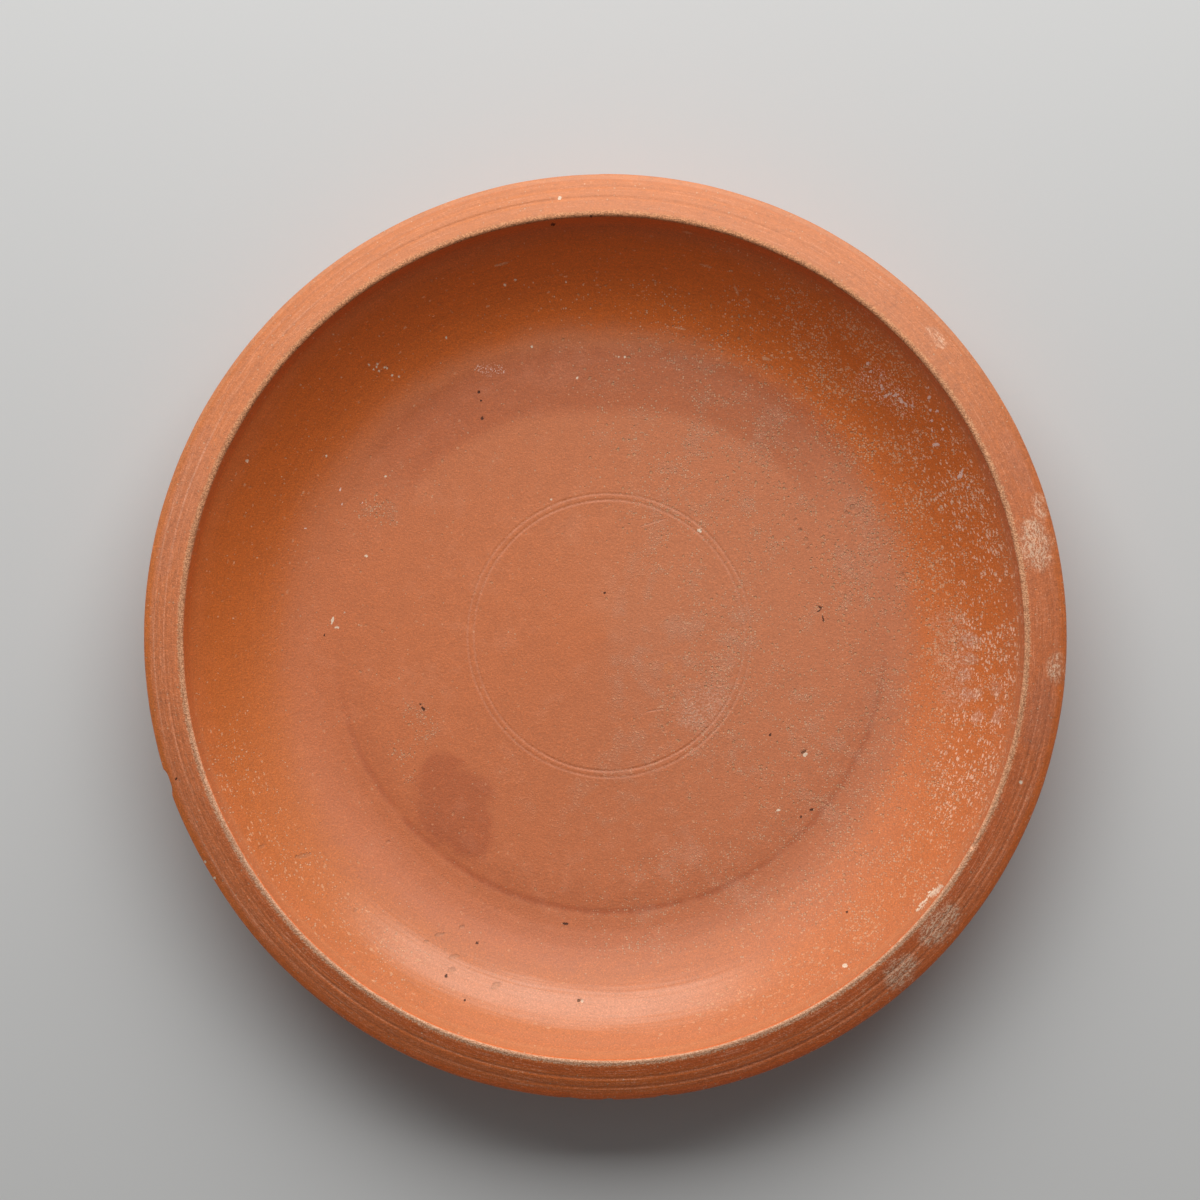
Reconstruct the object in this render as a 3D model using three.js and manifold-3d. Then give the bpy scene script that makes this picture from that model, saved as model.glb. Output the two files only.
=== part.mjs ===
// A wheel-thrown redware dish: one body of fired clay with a flat floor, a flaring wall and a
// rim that slopes outwards and down from a raised lip. Two grooves are incised round the rim and
// two round the middle of the floor, and the outer edge and the lip have old chips.
// Millimetres, +Z up. The origin is the middle of the ring that the dish stands on.
// Azimuths are in degrees, clockwise from +Y seen from above.

import * as THREE from 'three';
import { mergeVertices } from 'three/addons/utils/BufferGeometryUtils.js';
import Module from 'manifold-3d';

// Overall form
const rimRadius = 150; // out to the rim's edge, the widest point
const depth = 32.5; // from the floor's edge up to the crest of the lip
const floorThickness = 7.5;
const floorDip = 0.8; // how much lower the floor is in its middle than at its edge

// Wall
const wallThickness = 6;
const wallSlope = 48; // degrees, the straight part of the wall
const innerCurve = 42; // radius of the bend from the floor into the wall, inside the dish
const outerCurve = 48; // radius of the bend from the foot into the wall, outside
const leastStraight = 0.1; // share of the wall that the bends always leave straight

// Rim
const bevelWidth = 13.6; // plan width of the sloping face, from the lip's crest to the edge
const bevelDrop = 6; // height lost across it
const bevelBulge = 0.4; // how far its middle stands above a straight slope
const lipRound = 0.85;
const edgeRound = 1.1;
const edgeFace = 1; // the upright band between the edge's two roundings
const rimFaceHeight = 5.2; // the steep face inside, under the lip
const rimFaceLean = 1.3; // how far that face leans outwards on its way up
const rimFaceEase = 1.5; // how much of the corner at its foot is turned off
const ledgeFall = 1.2; // how far the rim's underside drops between its edge and the wall
const ledgeFillet = 2;

// Foot
const baseRadius = 95;
const footHeight = 1.5; // the bend outside starts this far above the table
const footLean = 1.6; // how far the foot's bevelled side spreads upwards
const restingWidth = 12; // the ring that touches the table
const baseHollow = 1.2; // the rest of the underside stands this far off the table
const hollowSlopeWidth = 6;

// Incised lines, each a shallow turned groove
const floorRings = [
  { radius: 47.2, width: 1.3, cut: 0.35 },
  { radius: 45.1, width: 1.3, cut: 0.35 },
];
const floorEdgeGroove = { width: 2.6, cut: 0.35 };
const rimGrooves = [
  { fromEdge: 4, width: 1, cut: 0.35 },
  { fromEdge: 7, width: 1, cut: 0.35 },
];

// Old chips, each a shallow hollow: the half sizes of the lens that it would fit, along the rim,
// across it and upwards, and how deep it bites into the clay
const edgeChips = [
  { azimuth: 251.5, along: 9, across: 5, up: 3.5, bite: 1.7 },
  { azimuth: 246, along: 14, across: 6, up: 3.5, bite: 0.8 },
];
const lipChips = [
  { azimuth: 119.4, along: 3, across: 3, up: 3, bite: 0.8 },
];

const clay = { color: 0xc0744f, roughness: 0.62, metalness: 0 };

// Smoothness
const turnSteps = 96; // faces round the dish
const bendStep = THREE.MathUtils.degToRad(6);
const smallBendStep = THREE.MathUtils.degToRad(30);
const chipDetail = 2;

const point = (r, z) => new THREE.Vector2(r, z);

// Points on a circle about a centre, from one angle to another, both in radians
function arc(centre, radius, from, to, step) {
  const count = Math.max(1, Math.ceil(Math.abs(to - from) / step));
  return Array.from({ length: count + 1 }, (_, i) => {
    const angle = from + ((to - from) * i) / count;
    return point(centre.x + radius * Math.cos(angle), centre.y + radius * Math.sin(angle));
  });
}

// A turned groove across a surface: its outer shoulder, its bottom and its inner shoulder.
// The surface is a function that gives the point at a plan radius.
function groove(surfaceAt, radius, width, cut) {
  const outer = surfaceAt(radius + width / 2);
  const inner = surfaceAt(radius - width / 2);
  const inwards = point(inner.y - outer.y, outer.x - inner.x).normalize().multiplyScalar(-cut);
  return [outer, surfaceAt(radius).add(inwards), inner];
}

// The slope of the wall, and the ways along it and out of it
const slope = THREE.MathUtils.degToRad(wallSlope);
const upTheWall = point(Math.cos(slope), Math.sin(slope));
const outOfTheWall = point(Math.sin(slope), -Math.cos(slope));

// The bend that turns a level surface into the wall's slope, which ends at the point given
function bendUpTo(end, level, curve) {
  const rise = end.y - level;
  const room = rise / Math.sin(slope) / Math.tan(slope / 2);
  const radius = Math.min(curve, (1 - leastStraight) * room);
  const corner = end.x - rise / Math.tan(slope);
  return { centre: point(corner - radius * Math.tan(slope / 2), level + radius), radius };
}

// Centres of the roundings at the lip and at the top and bottom of the outer edge
const lipHeight = floorThickness + depth;
const lipRadius = rimRadius - bevelWidth;
const lipCentre = point(lipRadius, lipHeight - lipRound);
const edgeCentre = point(rimRadius - edgeRound, lipCentre.y - bevelDrop);
const underEdgeCentre = point(edgeCentre.x, edgeCentre.y - edgeFace);

// The inside of the wall runs from the floor up to the foot of the steep face under the lip
const rimFoot = point(lipRadius - lipRound - rimFaceLean, lipCentre.y - rimFaceHeight);
const innerBend = bendUpTo(rimFoot, floorThickness, innerCurve);
const floorRadius = innerBend.centre.x;

// The outside runs from the foot up to the ledge under the rim
const ledgeHeight = underEdgeCentre.y - edgeRound - ledgeFall;
const wallOutside = rimFoot.clone().addScaledVector(outOfTheWall, wallThickness);
const ledgeCorner = wallOutside.clone()
  .addScaledVector(upTheWall, (ledgeHeight - wallOutside.y) / upTheWall.y);
const outerBend = bendUpTo(ledgeCorner, footHeight, outerCurve);

// The inside of the floor, which dips gently to the middle
const floorAt = (r) => point(r, floorThickness - floorDip * (1 - (r / floorRadius) ** 2));

// A slight hollow under the base, inside the ring that the dish stands on
function underside() {
  const ringInside = baseRadius - restingWidth;
  return [point(0, baseHollow), point(ringInside - hollowSlopeWidth, baseHollow),
    point(ringInside, 0), point(baseRadius, 0)];
}

// The foot's side meets the bend, and a fillet turns the straight wall into the ledge
function outerWall() {
  const footTop = (baseRadius + footLean - outerBend.centre.x) / outerBend.radius;
  const start = Math.asin(THREE.MathUtils.clamp(footTop, 0, Math.sin(slope)));
  const curve = arc(outerBend.centre, outerBend.radius, start - Math.PI / 2, slope - Math.PI / 2, bendStep);
  const ledge = underEdgeCentre.clone().sub(point(0, edgeRound)).sub(ledgeCorner);
  const ledgeSlope = Math.atan2(ledge.y, ledge.x);
  const reach = ledgeFillet * Math.tan((slope - ledgeSlope) / 2);
  const filletCentre = ledgeCorner.clone()
    .addScaledVector(upTheWall, -reach).addScaledVector(outOfTheWall, ledgeFillet);
  const fillet = arc(filletCentre, ledgeFillet, slope + Math.PI / 2, ledgeSlope + Math.PI / 2, smallBendStep);
  return [...curve, ...fillet];
}

// The rim: its rounded edge, the grooved sloping face with its slight bulge, and the round lip
function rim() {
  const bevelSlope = Math.atan2(bevelDrop, edgeCentre.x - lipCentre.x);
  const outOfTheBevel = Math.PI / 2 - bevelSlope;
  const underEdge = arc(underEdgeCentre, edgeRound, -Math.PI / 2, 0, smallBendStep);
  const edge = arc(edgeCentre, edgeRound, 0, outOfTheBevel, smallBendStep);
  const lip = arc(lipCentre, lipRound, outOfTheBevel, Math.PI, smallBendStep);
  const low = edge[edge.length - 1];
  const high = lip[0];
  const bevelAt = (r) => {
    const along = (low.x - r) / (low.x - high.x);
    return point(r, low.y + (high.y - low.y) * along + 4 * bevelBulge * along * (1 - along));
  };
  const grooves = rimGrooves.flatMap(({ fromEdge, width, cut }) =>
    groove(bevelAt, rimRadius - fromEdge, width, cut));
  const nearLip = bevelAt((high.x + grooves[grooves.length - 1].x) / 2);
  return [...underEdge, ...edge, ...grooves, nearLip, ...lip];
}

// The steep face under the lip, the straight wall, and the bend as far as the floor's edge
function innerWall() {
  const ease = Math.min(rimFaceEase, rimFaceHeight / 2);
  const upTheFace = point(rimFaceLean, rimFaceHeight).normalize();
  const aboveFoot = rimFoot.clone().addScaledVector(upTheFace, ease);
  const belowFoot = rimFoot.clone().addScaledVector(upTheWall, -ease);
  const curve = arc(innerBend.centre, innerBend.radius, slope - Math.PI / 2, -Math.PI / 2, bendStep);
  return [aboveFoot, belowFoot, ...curve.slice(0, -1)];
}

// The floor, from the groove along its edge to the middle, with its incised rings
function floor() {
  const { width, cut } = floorEdgeGroove;
  const edge = groove(floorAt, floorRadius - width / 2, width, cut);
  const rings = floorRings.flatMap((ring) => groove(floorAt, ring.radius, ring.width, ring.cut));
  const halfway = floorAt((edge[edge.length - 1].x + rings[0].x) / 2);
  const nearMiddle = floorAt(rings[rings.length - 1].x / 2);
  return [...edge, halfway, ...rings, nearMiddle, floorAt(0)];
}

// The whole section turned on the wheel's axis, which LatheGeometry takes as Y
function turnedBody() {
  const section = [...underside(), ...outerWall(), ...rim(), ...innerWall(), ...floor()];
  return new THREE.LatheGeometry(section, turnSteps).rotateX(Math.PI / 2);
}

// The lens that a chip would fit, on the +Y side, moved out to where it bites
function lens({ along, across, up }, radius, height) {
  return new THREE.IcosahedronGeometry(1, chipDetail).scale(along, across, up).translate(0, radius, height);
}

function chipLenses() {
  const fromEdge = edgeChips.map((chip) =>
    [chip, lens(chip, rimRadius + chip.across - chip.bite, edgeCentre.y)]);
  const fromLip = lipChips.map((chip) =>
    [chip, lens(chip, lipRadius, lipHeight + chip.up - chip.bite)]);
  return [...fromEdge, ...fromLip].map(([{ azimuth }, geometry]) =>
    geometry.rotateZ(-THREE.MathUtils.degToRad(azimuth)));
}

const wasm = await Module();
wasm.setup();

// A closed mesh as a solid that can be cut
function solid(geometry) {
  const bare = geometry.clone().deleteAttribute('normal').deleteAttribute('uv');
  const merged = mergeVertices(bare);
  return new wasm.Manifold(new wasm.Mesh({
    numProp: 3,
    vertProperties: new Float32Array(merged.attributes.position.array),
    triVerts: new Uint32Array(merged.index.array),
  }));
}

// A solid's surface as geometry again
function surface(body) {
  const mesh = body.getMesh();
  const geometry = new THREE.BufferGeometry();
  geometry.setAttribute('position', new THREE.BufferAttribute(mesh.vertProperties, 3));
  geometry.setIndex(new THREE.BufferAttribute(mesh.triVerts, 1));
  geometry.computeVertexNormals();
  return geometry;
}

const body = chipLenses().reduce((clayBody, chip) => clayBody.subtract(solid(chip)), solid(turnedBody()));

const dish = new THREE.Mesh(surface(body), new THREE.MeshStandardMaterial(clay));
dish.name = 'dish';

const model = new THREE.Group();
model.add(dish);

export default model;
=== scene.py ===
"""The finish of a wheel-thrown red-slip dish, as a studio picture shows it from above.

Lengths on the dish are in millimetres and azimuths in degrees, clockwise from +Y seen from above.
They become metres and radians where a mesh, a lamp or a material needs them.
"""

import math

import bpy
import mathutils
import numpy as np
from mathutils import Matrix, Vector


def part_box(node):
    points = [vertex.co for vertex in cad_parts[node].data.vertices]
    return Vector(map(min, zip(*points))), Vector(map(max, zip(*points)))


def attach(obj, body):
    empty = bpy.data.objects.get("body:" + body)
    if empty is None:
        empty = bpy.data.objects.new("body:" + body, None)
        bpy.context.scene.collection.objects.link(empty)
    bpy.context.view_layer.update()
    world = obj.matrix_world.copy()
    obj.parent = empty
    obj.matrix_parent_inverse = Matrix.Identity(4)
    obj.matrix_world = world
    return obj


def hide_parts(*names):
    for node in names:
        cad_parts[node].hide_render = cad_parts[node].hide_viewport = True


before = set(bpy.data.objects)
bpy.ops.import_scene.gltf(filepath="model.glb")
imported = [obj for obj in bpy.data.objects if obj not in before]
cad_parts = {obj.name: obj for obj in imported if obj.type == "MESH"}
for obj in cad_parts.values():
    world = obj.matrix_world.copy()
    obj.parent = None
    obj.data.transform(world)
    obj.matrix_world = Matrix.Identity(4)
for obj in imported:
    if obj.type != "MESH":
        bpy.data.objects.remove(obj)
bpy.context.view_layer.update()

MM = 0.001
low_corner, high_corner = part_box("dish")

# Overall form, from the frame
RIM_RADIUS = (high_corner.x - low_corner.x) / 2 / MM
LIP_HEIGHT = high_corner.z / MM

# Inside
FLOOR_LEVEL = 7.5
FLOOR_DIP = 0.8
FLOOR_RADIUS = 91.8
BEND_RADIUS = 42
BEND_END = 119  # radius at which the even bend turns into the slowly steepening wall
WALL_TOP_SLOPE = 51.5
FACE_LEAN = 1.3
FACE_EASE = 1.3

# Rim
BEVEL_WIDTH = 13.1
BEVEL_DROP = 6
BEVEL_BULGE = 0.4
LIP_ROUND = 0.95
EDGE_ROUND = 1.1
EDGE_FACE = 1
LEDGE_FALL = 1.2
LEDGE_FILLET = 2
RIM_GROOVES = (RIM_RADIUS - 4.25, RIM_RADIUS - 7.65)
LIP_MIDDLE = (-0.13, -0.33)  # the lip was turned a little off the rim's middle

# Outside
WALL_THICKNESS = 6
WALL_SLOPE = 48
OUTER_BEND = 48
BASE_RADIUS = 95
FOOT_HEIGHT = 1.5
FOOT_LEAN = 1.6
RESTING_WIDTH = 12
BASE_HOLLOW = 1.2
HOLLOW_SLOPE = 6

# Incised lines on the floor
FLOOR_RINGS = (46.9, 44.8)
FLOOR_GROOVE = 91.2
FLOOR_MIDDLE = (0.78, 0.28)  # and so was the floor with its rings

COLUMNS = 430
SEED = 20

lip_centre = np.array([RIM_RADIUS - BEVEL_WIDTH, LIP_HEIGHT - LIP_ROUND])
edge_centre = np.array([RIM_RADIUS - EDGE_ROUND, lip_centre[1] - BEVEL_DROP])
under_edge_centre = edge_centre - [0, EDGE_FACE]
bevel_turn = 90 - math.degrees(math.atan2(BEVEL_DROP, edge_centre[0] - lip_centre[0]))
wall_up = np.array([math.cos(math.radians(WALL_SLOPE)), math.sin(math.radians(WALL_SLOPE))])
wall_out = np.array([wall_up[1], -wall_up[0]])


def arc(centre, radius, start, end, count):
    """Points on a circle about centre, evenly spaced in angle from start to end."""
    turn = np.radians(np.linspace(start, end, count))
    return np.stack([centre[0] + radius * np.cos(turn), centre[1] + radius * np.sin(turn)], 1)


def straight(start, end, count):
    """Points evenly spaced from start to end."""
    return np.linspace(start, end, count)


def turned_corner(start, corner, end, count):
    """A parabola from start to end that leaves and arrives along the lines to the corner."""
    t = np.linspace(0, 1, count)[:, None]
    return (1 - t) ** 2 * np.array(start) + 2 * t * (1 - t) * np.array(corner) + t**2 * np.array(end)


def gentle_step(start, end, count):
    """Points whose height follows 3t^2 - 2t^3 while their radius grows evenly with t."""
    t = np.linspace(0, 1, count)
    return np.stack([start[0] + (end[0] - start[0]) * t,
                     start[1] + (end[1] - start[1]) * (3 * t**2 - 2 * t**3)], 1)


def smooth(value, low, high):
    """0 below low, 1 above high and 3t^2 - 2t^3 between them."""
    t = np.clip((value - low) / (high - low), 0, 1)
    return t * t * (3 - 2 * t)


def inner_wall_heights():
    """Radii and heights of the inner wall. The sine of the slope grows evenly with the radius up to
    BEND_END, the slope itself grows evenly after it, and the height is the sum of its tangent."""
    top = lip_centre[0] - LIP_ROUND - FACE_LEAN
    radius = np.linspace(FLOOR_RADIUS, top, 600)
    bend = np.arcsin(np.clip((radius - FLOOR_RADIUS) / BEND_RADIUS, 0, 1))
    at_end = math.asin((BEND_END - FLOOR_RADIUS) / BEND_RADIUS)
    share = (radius - BEND_END) / (top - BEND_END)
    slope = np.where(radius < BEND_END, bend, at_end + (math.radians(WALL_TOP_SLOPE) - at_end) * share)
    rise = np.tan((slope[1:] + slope[:-1]) / 2) * np.diff(radius)
    return radius, FLOOR_LEVEL + np.concatenate([[0], np.cumsum(rise)])


def floor_height(radius):
    """The floor dips to the middle with the square of the radius."""
    return FLOOR_LEVEL - FLOOR_DIP * (1 - (radius / FLOOR_RADIUS) ** 2)


def underside():
    inside = BASE_RADIUS - RESTING_WIDTH
    return [straight((0, BASE_HOLLOW), (inside - HOLLOW_SLOPE, BASE_HOLLOW), 9),
            gentle_step((inside - HOLLOW_SLOPE, BASE_HOLLOW), (inside, 0), 7),
            straight((inside, 0), (BASE_RADIUS - 0.7, 0), 5)]


def outer_wall():
    """The foot's side, the bend, the straight wall and the fillet into the ledge under the rim."""
    wall_radius, wall_height = inner_wall_heights()
    wall_foot = np.array([wall_radius[-1], wall_height[-1]]) + wall_out * WALL_THICKNESS
    ledge_height = under_edge_centre[1] - EDGE_ROUND - LEDGE_FALL
    corner = wall_foot + wall_up * (ledge_height - wall_foot[1]) / wall_up[1]
    half = math.tan(math.radians(WALL_SLOPE / 2))
    rise = corner[1] - FOOT_HEIGHT
    centre = (corner[0] - rise / math.tan(math.radians(WALL_SLOPE)) - OUTER_BEND * half,
              FOOT_HEIGHT + OUTER_BEND)
    start = math.degrees(math.asin((BASE_RADIUS + FOOT_LEAN - centre[0]) / OUTER_BEND))
    bend = arc(centre, OUTER_BEND, start - 90, WALL_SLOPE - 90, 20)
    foot = turned_corner((BASE_RADIUS - 0.7, 0), (BASE_RADIUS, 0), bend[0], 7)
    ledge = under_edge_centre - [0, EDGE_ROUND] - corner
    ledge_slope = math.degrees(math.atan2(ledge[1], ledge[0]))
    reach = LEDGE_FILLET * math.tan(math.radians((WALL_SLOPE - ledge_slope) / 2))
    fillet_centre = corner - wall_up * reach + wall_out * LEDGE_FILLET
    fillet = arc(fillet_centre, LEDGE_FILLET, WALL_SLOPE + 90, ledge_slope + 90, 6)
    return [foot, bend, straight(bend[-1], fillet[0], 9), fillet,
            straight(fillet[-1], under_edge_centre - [0, EDGE_ROUND], 5)]


def rim():
    """The rounded edge, the sloping face with its slight bulge of 4t(1 - t), and the round lip."""
    edge = arc(edge_centre, EDGE_ROUND, 0, bevel_turn, 6)
    lip = arc(lip_centre, LIP_ROUND, bevel_turn, 180, 10)
    t = np.linspace(0, 1, 46)[:, None]
    bevel = edge[-1] + (lip[0] - edge[-1]) * t + [0, 1] * (4 * BEVEL_BULGE * t * (1 - t))
    return [arc(under_edge_centre, EDGE_ROUND, -90, 0, 7), edge, bevel, lip]


def inside():
    """The steep face under the lip, the wall, the bend and the floor."""
    radius, height = inner_wall_heights()
    foot = np.array([radius[-1], height[-1]])
    top = lip_centre - [LIP_ROUND, 0]
    above = foot + (top - foot) * 0.3
    below_radius = foot[0] - FACE_EASE
    below = np.array([below_radius, np.interp(below_radius, radius, height)])
    corner = turned_corner(above, foot, below, 7)
    wall_rows = np.linspace(below_radius, FLOOR_RADIUS, 50)
    wall = np.stack([wall_rows, np.interp(wall_rows, radius, height)], 1)
    groove_rows = np.linspace(FLOOR_RADIUS, FLOOR_GROOVE - 2, 9)
    ring_top, ring_low = FLOOR_RINGS[0] + 1.2, FLOOR_RINGS[1] - 1.2
    outer_rows = np.linspace(FLOOR_GROOVE - 2, ring_top, 14)
    ring_rows = np.linspace(ring_top, ring_low, 18)
    inner_rows = np.linspace(ring_low, 0, 11)
    rows = np.concatenate([groove_rows, outer_rows[1:], ring_rows[1:], inner_rows[1:]])
    floor = np.stack([rows, floor_height(rows)], 1)
    return [straight(top, above, 4), corner, wall, floor]


def section():
    """The whole outline from under the middle of the base, out and over the rim to the middle of the
    floor, and how far along it each named stretch ends."""
    stretches = [("underside", underside()), ("wall_outside", outer_wall()), ("rim", rim()),
                 ("inside", inside())]
    points = [np.array([[0, BASE_HOLLOW]])]
    ends = {}
    length = 0
    for name, parts in stretches:
        for index, part in enumerate(parts):
            length += np.hypot(*np.diff(np.vstack([points[-1][-1:], part[1:]]), axis=0).T).sum()
            points.append(part[1:])
            ends[f"{name}_{index}"] = length
    return np.vstack(points), ends


def columns_round():
    """Azimuths in radians, closer together round the chips: equal steps of the summed density."""
    fine = np.linspace(0, 360, 3601)
    density = 1 + 4 * np.exp(-(((fine - 251) / 4) ** 2)) + 3 * np.exp(-(((fine - 119.4) / 2) ** 2))
    density += 0.8 * np.exp(-(((fine - 179) / 9) ** 2))
    summed = np.concatenate([[0], np.cumsum((density[1:] + density[:-1]) / 2)])
    return np.radians(np.interp(np.linspace(0, summed[-1], COLUMNS, endpoint=False), summed, fine))


def waver(azimuth, cycles, random):
    """An uneven wave round the dish, the sum of cosines of whole cycles with random phase and a size
    that falls with the cycles, about 1 at its highest."""
    phase = random.uniform(0, 2 * np.pi, len(cycles))
    size = random.uniform(0.5, 1, len(cycles)) / np.sqrt(np.arange(1, len(cycles) + 1))
    return (size[:, None] * np.cos(np.outer(cycles, azimuth) + phase[:, None])).sum(0) / size.sum() * 1.6


def incised(distance, width, cut):
    """A groove's depth across it: a bell of the width given, with low shoulders beside it."""
    bell = np.exp(-((distance / (width / 2)) ** 2))
    shoulders = np.exp(-(((np.abs(distance) - width * 0.85) / (width / 3)) ** 2))
    return -cut * bell + cut * 0.22 * shoulders


def turning_marks(along, azimuth, random):
    """Low ridges left by the turning: cosines along the section whose phase drifts round the dish."""
    height = np.zeros((len(along), len(azimuth)))
    for wavelength, size in ((9.5, 0.015), (5.3, 0.012), (3.1, 0.009)):
        drift = waver(azimuth, [1, 2, 3, 5], random) * 1.3
        height += size * np.cos(2 * np.pi * along[:, None] / wavelength + drift[None, :])
    return height


def surface_height(points, along, ends, azimuth):
    """How far the surface stands out of the plain section, by row and column."""
    random = np.random.default_rng(SEED)
    radius = points[:, 0][:, None]
    degrees = np.degrees(azimuth)[None, :]
    on_rim = smooth(along, ends["rim_1"] - 0.3, ends["rim_1"] + 0.5) * (1 - smooth(along, ends["rim_2"] - 0.5,
                                                                                      ends["rim_2"]))
    upper = along > ends["rim_3"]
    height = turning_marks(along, azimuth, random)
    calm = smooth(points[:, 0], 20, 60) * (0.35 + 0.65 * smooth(points[:, 0], 88, 100))
    outside = along < ends["wall_outside_4"]
    height *= np.where(outside, np.where(points[:, 1] < 0.4, 0, 5), calm)[:, None]
    height *= np.where((along > ends["rim_2"]) & (along < ends["inside_0"]), 0.2, 1)[:, None]
    faint = 1 - 0.65 * np.exp(-(((degrees - 55) / 42) ** 2))
    for groove in RIM_GROOVES:
        wander = 0.16 * waver(azimuth, [1, 2, 3, 4, 7, 11], random)[None, :]
        cut = (0.14 + 0.06 * waver(azimuth, [1, 2, 5, 9], random)[None, :]) * faint
        height += on_rim[:, None] * incised(radius - groove - wander, 0.9, cut)
    for ring in FLOOR_RINGS:
        wander = 0.14 * waver(azimuth, [1, 2, 3, 5, 8, 13, 21], random)[None, :]
        cut = 0.10 + 0.05 * waver(azimuth, [1, 2, 5, 9, 17, 31], random)[None, :]
        height += upper[:, None] * incised(radius - ring - wander, 0.8, cut)
    shown = 0.15 + 0.85 * smooth(degrees, 80, 125) * (1 - smooth(degrees, 225, 300))
    off_line = radius - FLOOR_GROOVE - 0.25 * waver(azimuth, [1, 2, 3, 7, 12], random)[None, :]
    reach = np.where(off_line < 0, 2.6, 1.5)
    height -= upper[:, None] * 0.15 * shown * np.exp(-((off_line / reach) ** 2))
    lip = smooth(along, ends["rim_2"] - 1, ends["rim_2"]) * (1 - smooth(along, ends["rim_3"],
                                                                       ends["rim_3"] + 0.8))
    grit = waver(azimuth, list(range(30, 200, 7)), random)[None, :]
    crumble = waver(azimuth, list(range(9, 60, 4)), random)[None, :]
    height += lip[:, None] * (0.10 * grit + 0.09 * crumble)
    edge = smooth(along, ends["rim_0"] - 2, ends["rim_0"]) * (1 - smooth(along, ends["rim_1"],
                                                                        ends["rim_1"] + 1))
    height += edge[:, None] * (0.05 * crumble - 0.03 + 0.03 * grit)
    return height


# Old chips, each the hollow of a lens: its azimuth, the radius and height of its middle, and its half
# sizes along the rim, across it and upwards
CHIPS = (
    (251.6, 153.6, 32.9, 7.6, 5.0, 5.5),
    (250.2, 151.8, 33.4, 2.6, 2.4, 3.0),
    (184.2, 151.7, 32.8, 4.6, 2.1, 3.0),
    (179.3, 151.4, 32.8, 2.2, 2.2, 2.8),
    (172.4, 151.4, 32.8, 2.6, 2.2, 2.8),
    (119.4, 136.3, 41.4, 2.4, 2.2, 2.2),
)


def chipped(position, random):
    """Moves what lies inside a chip's lens out to its surface, along the line from the lens's middle.
    The lens swells and shrinks by a tenth with three crossed waves, as broken clay does."""
    for azimuth, radius, height, along, across, up in CHIPS:
        turn = math.radians(azimuth)
        outwards = np.array([math.sin(turn), math.cos(turn), 0])
        sideways = np.array([math.cos(turn), -math.sin(turn), 0])
        axes = np.stack([sideways, outwards, [0, 0, 1]])
        offset = position - (outwards * radius + [0, 0, height])
        local = offset @ axes.T / [along, across, up]
        wave = random.uniform(0, 6, 3)
        rough = 1 + 0.02 * np.sin(offset @ axes.T * [1.3, 2.9, 3.7] + wave).sum(-1)
        depth = np.linalg.norm(local, axis=-1)
        inside_lens = depth < rough
        pushed = local * np.where(inside_lens, rough / np.maximum(depth, 0.05), 1)[..., None]
        position = np.where(inside_lens[..., None],
                            (pushed * [along, across, up]) @ axes + outwards * radius + [0, 0, height],
                            position)
    return position


# Where the rim bulges or falls short of its circle: the azimuth, the half width in degrees and how far
WARPS = (
    (5, 40, 0.10), (80, 26, -0.33), (158, 24, 0.30), (204, 13, 0.32), (240, 8, -0.35), (272, 34, -0.16),
)


def out_of_round(points, azimuth):
    """How far a warped rim leaves its circle: bells round the dish that grow with the radius."""
    degrees = np.degrees(azimuth)[None, :]
    lobes = sum(height * np.exp(-(((degrees - middle) / width) ** 2)) for middle, width, height in WARPS)
    return lobes * smooth(points[:, 0], 100, 150)[:, None]


def off_middle(points, along, ends):
    """How far each row's circle lies from the axis: the lip's share rises across the rim and the upper
    wall, and the floor's share rises down the bend."""
    lip = smooth(along, ends["rim_1"], ends["rim_2"]) * smooth(points[:, 0], 100, 136)
    floor = np.where(along > ends["inside_0"], 1 - smooth(points[:, 0], 94, 126), 0)
    return np.outer(lip, LIP_MIDDLE) + np.outer(floor, FLOOR_MIDDLE)


def grid_faces(rows, columns):
    """Quads of a grid that closes round its columns, and a fan at each end to a vertex of its own.
    The two end vertices come after the grid."""
    down = np.arange(rows - 1)[:, None] * columns
    here = np.arange(columns)[None, :]
    following = (here + 1) % columns
    quads = np.stack([down + here, down + columns + here, down + columns + following, down + following], -1)
    first, last = rows * columns, rows * columns + 1
    end = (rows - 1) * columns
    start_fan = np.stack([np.full(columns, first), here[0], following[0]], -1)
    end_fan = np.stack([end + here[0], np.full(columns, last), end + following[0]], -1)
    return quads.reshape(-1, 4), np.vstack([start_fan, end_fan])


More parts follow.
